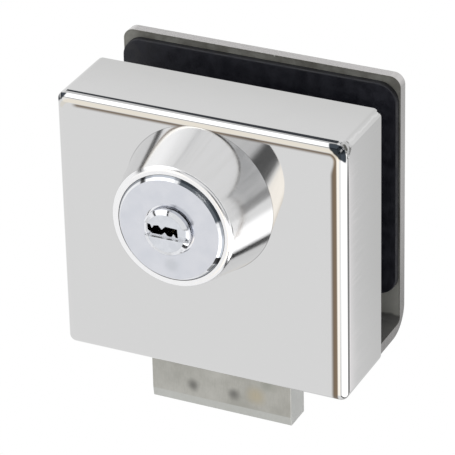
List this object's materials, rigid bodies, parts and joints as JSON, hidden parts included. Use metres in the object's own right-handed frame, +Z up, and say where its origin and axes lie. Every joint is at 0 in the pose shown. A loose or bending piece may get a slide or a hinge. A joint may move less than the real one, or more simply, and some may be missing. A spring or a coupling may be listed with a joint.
{
  "type": "glass cabinet door lock",
  "caption": "Clamp-on lock for a frameless glass door: a keyed cylinder throws a deadbolt down out of a polished folded cover, with a rubber-faced slot for the glass.",
  "frame": {"origin": "where the lock cylinder's axis meets the back pad's glass face", "axes": "+Z up, away from the deadbolt's tip; +Y to the back, into the cabinet; +X to the right seen from the keyway side"},
  "size_m": [0.075, 0.0563, 0.0868],
  "materials": {
    "cover_steel": "mirror-polished stainless sheet",
    "plate_steel": "polished stainless plate with fine grain",
    "pad_rubber": "matt black rubber sheet",
    "collar_chrome": "bright chrome plating",
    "cylinder_nickel": "satin nickel plating",
    "plug_nickel": "bright nickel plating",
    "bolt_steel": "ground and nickel-plated steel",
    "case_zinc": "plain zinc die casting",
    "zinc_steel": "zinc-plated steel",
    "black_steel": "black oxide on steel",
    "pin_brass": "plain turned brass",
    "spring_steel": "bright spring wire",
    "pinion_steel": "machined steel"
  },
  "bodies": {
    "lock_body": {"front_cover": "cover_steel", "back_plate": "plate_steel", "back_pad": "pad_rubber", "jaw_plate": "zinc_steel", "jaw_pad": "pad_rubber", "lock_case": "case_zinc", "case_lid": "zinc_steel", "escutcheon": "collar_chrome", "escutcheon_nut": "zinc_steel", "cylinder_body": "cylinder_nickel", "driver_pins": "pin_brass", "pin_springs": "spring_steel", "pin_caps": "pin_brass", "stop_pin": "pinion_steel", "drag_ball": "spring_steel", "drag_spring": "spring_steel", "drag_screw": "black_steel", "clamp_screws": "black_steel", "flange_screws": "zinc_steel", "cover_screws": "zinc_steel", "lid_screws": "zinc_steel", "cylinder_screw": "black_steel"},
    "plug_body": {"plug": "plug_nickel", "key_pins": "pin_brass", "plug_clip": "spring_steel", "drive_pinion": "pinion_steel", "pinion_washer": "zinc_steel", "pinion_screw": "zinc_steel"},
    "bolt_body": {"deadbolt": "bolt_steel"}
  },
  "joints": [
    {"name": "plug_turn", "type": "hinge", "parent": "lock_body", "child": "plug_body", "pos_m": [0, 0, 0], "axis": [0, -1, 0], "range_deg": [0, 180]},
    {"name": "bolt_slide", "type": "slide", "parent": "lock_body", "child": "bolt_body", "axis": [0, 0, 1], "range_m": [0, 0.01571]}
  ],
  "couplings": [
    {"joint": "plug_turn", "follows": "bolt_slide", "rad_per_m": 200}
  ]
}
